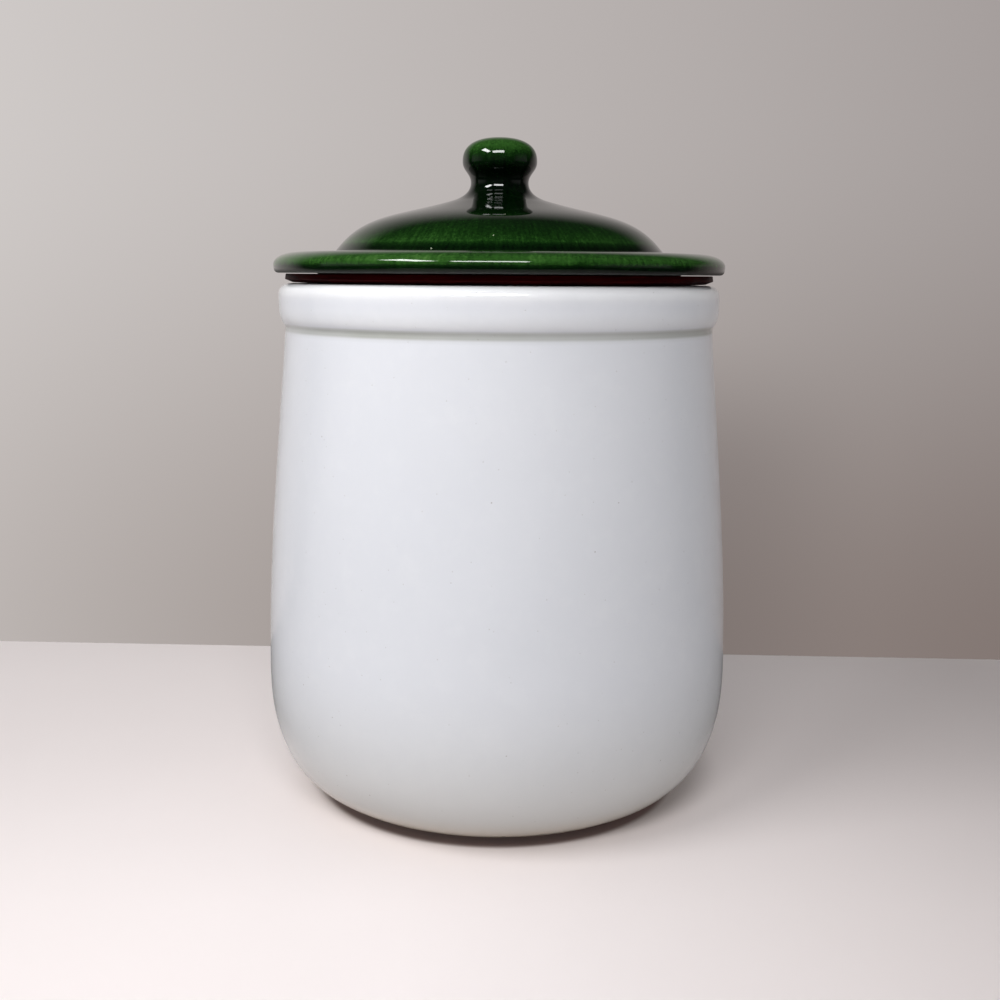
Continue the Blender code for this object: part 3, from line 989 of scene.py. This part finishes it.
# %% [markdown]
# ## What both glazes share
#
# Both glazes are glass over the same buff stoneware, and both stop where the clay is bare. A glaze
# could be built as a clear coat on a diffuse base, but the plain Principled shader is already a
# body under a glossy film. So the work goes into its colour, its roughness, and a fine orange-peel
# bump that keeps the reflections from looking like plastic.

# %% Prepare the clay and the film
BARE_CLAY = (0.50, 0.385, 0.27, 1), (0.70, 0.56, 0.42, 1)
BARE_BELOW = (0.09, 0.02)
CLAY_GRAIN, CLAY_ROUGHNESS = (900.0, 3.0), 0.7


def bare_clay(recipe, place, glaze):
    """How much bare clay shows, and the clay's own grainy colour."""
    shows = recipe.spread(glaze, *BARE_BELOW)
    return shows, recipe.blend(recipe.clouds(place, *CLAY_GRAIN), *BARE_CLAY)


def glaze_shader(recipe, colour, roughness, height, bare, bump_depth, ior):
    """A glossy film over a colour, rough where the clay is bare."""
    bump = recipe.add("Bump", {"Height": height, "Distance": bump_depth, "Strength": 1.0})
    sockets = {
        "Base Color": colour,
        "Roughness": recipe.plus(roughness, recipe.times(bare, CLAY_ROUGHNESS), True),
        "Normal": bump.outputs[0],
        "IOR": ior,
    }
    shader = recipe.add("BsdfPrincipled", sockets)
    recipe.add("OutputMaterial", {"Surface": shader.outputs[0]})


print("clay shows where the glaze is thinner than", BARE_BELOW[0])

# %% [markdown]
# ## The colour of the white glaze
#
# The white is an opaque, slightly blue glass. It is never one flat colour: it clouds a little,
# whitens along the rim where the coat is thin, and turns grey-green where it pools in the groove.
# The whiter rim is in part a painted highlight, and the dark of the groove in part painted shade.
# Low down it turns darker, which is painted shade, and near the foot the buff clay shows through
# and warms it. One noise could vary it all, but each of these has its own cause and place, so
# each is a blend of its own.

# %% Mix the white
WHITE_THIN_AND_LIT, WHITE_EVEN = (0.925, 0.93, 0.945, 1), (0.768, 0.782, 0.828, 1)
WHITE_POOLED_AND_SHADED, WHITE_CLOUD = (0.44, 0.45, 0.42, 1), (0.73, 0.748, 0.80, 1)
WHITE_LOW_SHADE, WHITE_AT_FOOT = (0.63, 0.62, 0.595, 1), (0.66, 0.55, 0.44, 1)
THIN_TO_EVEN, EVEN_TO_POOLED = (0.30, 0.50), (0.51, 0.64)
WHITE_DRIFT, CLOUD_SHARE, MOTTLE_SHARE = (16.0, 3.0), (0.3, 0.7, 0.0, 0.35), 0.10
LOW_SHADE_RISE, FOOT_RISE = (0.070, 0.004), (0.016, 0.003)
LOW_SHADE_POWER, FOOT_POWER, FOOT_MOTTLE = 1.3, 1.5, (0.25, 0.75, 0.7, 1.0)


def white_colour(recipe, place, glaze, mottle):
    """The white before its specks, from the rim's thin coat to the warm foot, with painted light
    and shade.
    """
    up = recipe.axes(place)["Z"]
    depth = recipe.plus(glaze, recipe.times(recipe.minus(mottle, 0.5), MOTTLE_SHARE))
    # Thin coat, whiter: partly real, partly a painted highlight on the rim and band.
    colour = recipe.blend(recipe.spread(depth, *THIN_TO_EVEN), WHITE_THIN_AND_LIT, WHITE_EVEN)
    # Pooled coat, grey-green: partly real, partly painted shade in the groove.
    colour = recipe.blend(recipe.spread(glaze, *EVEN_TO_POOLED), colour, WHITE_POOLED_AND_SHADED)
    drift = recipe.clouds(place, *WHITE_DRIFT)
    colour = recipe.blend(recipe.spread(drift, *CLOUD_SHARE), colour, WHITE_CLOUD)
    # Painted shade: the jar turns darker towards the bottom.
    low = recipe.maths("POWER", recipe.spread(up, *LOW_SHADE_RISE), LOW_SHADE_POWER)
    colour = recipe.blend(low, colour, WHITE_LOW_SHADE)
    warm = recipe.times(recipe.spread(up, *FOOT_RISE), recipe.spread(mottle, *FOOT_MOTTLE))
    return recipe.blend(recipe.maths("POWER", warm, FOOT_POWER), colour, WHITE_AT_FOOT)


print("white, where thin, even and pooled:", WHITE_THIN_AND_LIT[:3], WHITE_EVEN[:3], WHITE_POOLED_AND_SHADED[:3])

# %% [markdown]
# ## White glaze
#
# No fired coat is perfect. This one has pinholes where gas broke the surface, specks where iron in
# the clay came up, and a fine peel over a slower ripple, which bend its reflections a little. The
# ripple could be pressed into the mesh, but it is so shallow that only its shine shows, and a Bump
# node is enough for that.

# %% Finish the white glaze
PINHOLE, PINHOLE_SHARE, PINHOLE_DOTS = (0.38, 0.35, 0.32, 1), 0.3, (210.0, 0.00030)
IRON, IRON_SHARE, IRON_DOTS = (0.16, 0.11, 0.075, 1), 0.45, (95.0, 0.00034)
IRON_SHIFT = (3.1, 1.7, 0.4)
WHITE_MOTTLE, WHITE_PEEL, WHITE_RIPPLE = (120.0, 4.0, 0.6), (190.0, 2.0), (45.0, 1.0)
RIPPLE_SHARE, PINHOLE_DEPTH = 2.0, 4.0
WHITE_ROUGHNESS = (0.2, 0.8, 0.04, 0.08)
WHITE_BUMP, WHITE_IOR = 0.000018, 1.52


def white_glaze():
    material = bpy.data.materials.new("white_glaze")
    recipe = Pattern(material)
    place = recipe.place()
    glaze = recipe.add("Attribute", attribute_name="glaze").outputs["Fac"]
    mottle = recipe.clouds(place, *WHITE_MOTTLE)
    colour = white_colour(recipe, place, glaze, mottle)
    pinholes = recipe.dots(place, *PINHOLE_DOTS)
    shifted = recipe.add("Mapping", {"Vector": place, "Location": IRON_SHIFT}).outputs[0]
    colour = recipe.blend(recipe.times(pinholes, PINHOLE_SHARE), colour, PINHOLE)
    iron = recipe.times(recipe.dots(shifted, *IRON_DOTS), IRON_SHARE)
    colour = recipe.blend(iron, colour, IRON)
    bare, clay = bare_clay(recipe, place, glaze)
    colour = recipe.blend(bare, colour, clay)
    peel = recipe.clouds(place, *WHITE_PEEL)
    ripple = recipe.clouds(place, *WHITE_RIPPLE)
    height = recipe.plus(peel, recipe.times(ripple, RIPPLE_SHARE))
    height = recipe.minus(height, recipe.times(pinholes, PINHOLE_DEPTH))
    roughness = recipe.spread(mottle, *WHITE_ROUGHNESS)
    glaze_shader(recipe, colour, roughness, height, bare, WHITE_BUMP, WHITE_IOR)
    return material


jar.data.materials.append(white_glaze())
print("white glaze:", len(jar.data.materials[0].node_tree.nodes), "nodes")

# %% [markdown]
# ## The depth of the green glass
#
# The green is a see-through glass coloured with copper. Where it is thin the body shines through
# and the green turns bright and yellowish. Where it gathers, round the neck and at the foot of
# the dome, it is almost black. Part of that light and dark is painted light and shade carried by
# the lid's marks: bright on the knob's top and the brim's shoulder, black under the knob and the
# brim. Fired copper glaze also breaks into a fine grain and into short runs that follow the slope.
# Real see-through layers would be slow and would not survive an export, so the depth of the glass
# picks the colour from a ramp instead.

# %% Work out the depth
GREENS = (
    (0.00, (0.090, 0.200, 0.050, 1)),
    (0.25, (0.026, 0.090, 0.014, 1)),
    (0.50, (0.0062, 0.031, 0.0035, 1)),
    (0.66, (0.0026, 0.0150, 0.0019, 1)),
    (0.82, (0.0011, 0.0080, 0.0010, 1)),
    (1.00, (0.0003, 0.0018, 0.0004, 1)),
)
LID_DARKER_TO_THE_RIGHT = (-0.09, 0.09, -0.03, 0.07)
RUN_OUT, RUN_DOWN, RUNS = 2.2, 1.5, (55.0, 2.0, 0.6)
DRIFT_SHARE, RUNS_SHARE, GRAIN_SHARE = 0.26, 0.38, 0.42


def runs_down_the_slope(recipe, axes, flat_place, radius):
    """Noise drawn out into short runs that follow the slope outwards and down."""
    sockets, operation = {0: flat_place}, "NORMALIZE"
    heading = recipe.axes(recipe.add("VectorMath", sockets, operation=operation).outputs[0])
    slope = recipe.minus(recipe.times(radius, RUN_OUT), recipe.times(axes["Z"], RUN_DOWN))
    sockets = {0: heading["X"], 1: heading["Y"], 2: slope}
    return recipe.clouds(recipe.add("CombineXYZ", sockets).outputs[0], *RUNS)


def green_depth(recipe, axes, glaze, drift, runs, grain):
    """The glaze's thickness and painted light and shade, darker to the right, broken by drift, runs
    and grain.
    """
    # The lid is made darker towards the right.
    depth = recipe.plus(glaze, recipe.spread(axes["X"], *LID_DARKER_TO_THE_RIGHT))
    for pattern, share in ((drift, DRIFT_SHARE), (runs, RUNS_SHARE), (grain, GRAIN_SHARE)):
        depth = recipe.plus(depth, recipe.times(recipe.minus(pattern, 0.5), share))
    return depth


print("greens, from thin to deep:", len(GREENS))

# %% [markdown]
# ## Green glaze
#
# The colour from the ramp gets a few pale pinholes and the bare clay of the spigot. The bump is
# finer than in the white, so that the lamps' dashes stay sharp. Under the brim the glaze is duller,
# as a wiped seat is, or that edge would shine. That could be a second material, but then the
# change would be a hard border.

# %% Mix the green glaze
GREEN_PINHOLE, GREEN_PINHOLE_SHARE = (0.34, 0.38, 0.27, 1), 0.8
GREEN_PINHOLE_DOTS, GREEN_PINHOLE_DEPTH = (80.0, 0.00042), 3.0
GREEN_DRIFT, GREEN_GRAIN, GREEN_PEEL = (42.0, 2.0), (950.0, 2.0, 0.65), (210.0, 2.0)
WIPED_BELOW, WIPED_BEYOND, WIPED_ROUGHNESS = (0.2142, 0.2126), (0.068, 0.071), 0.5
GREEN_ROUGHNESS = (0.2, 0.8, 0.045, 0.085)
GREEN_BUMP, GREEN_IOR = 0.000011, 1.57


def green_glaze():
    material = bpy.data.materials.new("green_glaze")
    recipe = Pattern(material)
    place = recipe.place()
    axes = recipe.axes(place)
    flat_place = recipe.flat(axes)
    radius = recipe.length(flat_place)
    glaze = recipe.add("Attribute", attribute_name="glaze").outputs["Fac"]
    runs = runs_down_the_slope(recipe, axes, flat_place, radius)
    drift = recipe.clouds(place, *GREEN_DRIFT)
    grain = recipe.clouds(place, *GREEN_GRAIN)
    colour = recipe.ramp(green_depth(recipe, axes, glaze, drift, runs, grain), GREENS)
    pinholes = recipe.dots(place, *GREEN_PINHOLE_DOTS)
    colour = recipe.blend(recipe.times(pinholes, GREEN_PINHOLE_SHARE), colour, GREEN_PINHOLE)
    bare, clay = bare_clay(recipe, place, glaze)
    colour = recipe.blend(bare, colour, clay)
    peel = recipe.clouds(place, *GREEN_PEEL)
    height = recipe.minus(peel, recipe.times(pinholes, GREEN_PINHOLE_DEPTH))
    wiped = recipe.spread(axes["Z"], *WIPED_BELOW)
    wiped = recipe.times(wiped, recipe.spread(radius, *WIPED_BEYOND))
    roughness = recipe.spread(grain, *GREEN_ROUGHNESS)
    roughness = recipe.plus(roughness, recipe.times(wiped, WIPED_ROUGHNESS))
    glaze_shader(recipe, colour, roughness, height, bare, GREEN_BUMP, GREEN_IOR)
    return material


lid.data.materials.append(green_glaze())
print("green glaze:", len(lid.data.materials[0].node_tree.nodes), "nodes")

# %% [markdown]
# ## Maroon rubber
#
# Old food-grade rubber is dark, a little waxy, and marked by handling: slightly dusty, with faint
# streaks round its edge from the mould. The streaks are clouds squeezed flat by a Mapping node. A
# satin roughness with small changes in it says rubber more clearly than colour does.

# %% Mix the rubber
MAROONS = (0.016, 0.0003, 0.0007, 1), (0.042, 0.0009, 0.0015, 1)
DUST, DUST_SHARE = (0.05, 0.014, 0.012, 1), (0.55, 0.8, 0.0, 0.15)
STREAKS, STREAK_SQUEEZE = (60.0, 3.0), (1, 1, 22)
RUBBER_GRAIN, RUBBER_DUST = (1500.0, 2.0), (140.0, 4.0, 0.7)
RUBBER_ROUGHNESS, RUBBER_SHINE, RUBBER_BUMP = (0.3, 0.7, 0.40, 0.58), 0.02, 0.00002


def maroon_rubber():
    material = bpy.data.materials.new("maroon_rubber")
    recipe = Pattern(material)
    place = recipe.place()
    bands = recipe.add("Mapping", {"Vector": place, "Scale": STREAK_SQUEEZE}).outputs[0]
    streaks = recipe.clouds(bands, *STREAKS)
    grain = recipe.clouds(place, *RUBBER_GRAIN)
    dust = recipe.clouds(place, *RUBBER_DUST)
    colour = recipe.blend(recipe.spread(streaks, *CLOUD_SPAN), *MAROONS)
    colour = recipe.blend(recipe.spread(dust, *DUST_SHARE), colour, DUST)
    bump = recipe.add("Bump", {"Height": grain, "Distance": RUBBER_BUMP, "Strength": 1.0})
    sockets = {
        "Base Color": colour,
        "Roughness": recipe.spread(dust, *RUBBER_ROUGHNESS),
        "Specular IOR Level": RUBBER_SHINE,
        "Normal": bump.outputs[0],
    }
    shader = recipe.add("BsdfPrincipled", sockets)
    recipe.add("OutputMaterial", {"Surface": shader.outputs[0]})
    return material


ring.data.materials.append(maroon_rubber())
print("rubber:", len(ring.data.materials[0].node_tree.nodes), "nodes")

# %% [markdown]
# ## Putting the pieces in charge
#
# Each fine piece stands for one plain solid of the packed model and moves with that solid's body:
# the jar stays on the table, the ring lifts off with the lid, and the lid turns on the ring. The
# plain solid is hidden, and the piece is parented to an empty for its body.

# %% Hand each piece to its body
for piece, node, body, finish in (
    (jar, "jar", "jar", "white_glaze"),
    (ring, "seal_ring", "seal", "maroon_rubber"),
    (lid, "lid", "lid", "green_glaze"),
):
    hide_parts(node)
    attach(piece, body)
    low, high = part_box(node)
    size = [round(side * 1000, 1) for side in high - low]
    print(piece.name, "stands for", node, "which is", size, "mm")

# %% [markdown]
# ## Measuring the result
#
# The dressed canister has to be as large as the packed one. A tenth of a millimetre doesn't show
# by eye, so both sizes are printed above: each piece's as it is finished, and its plain solid's as
# it is handed to its body.
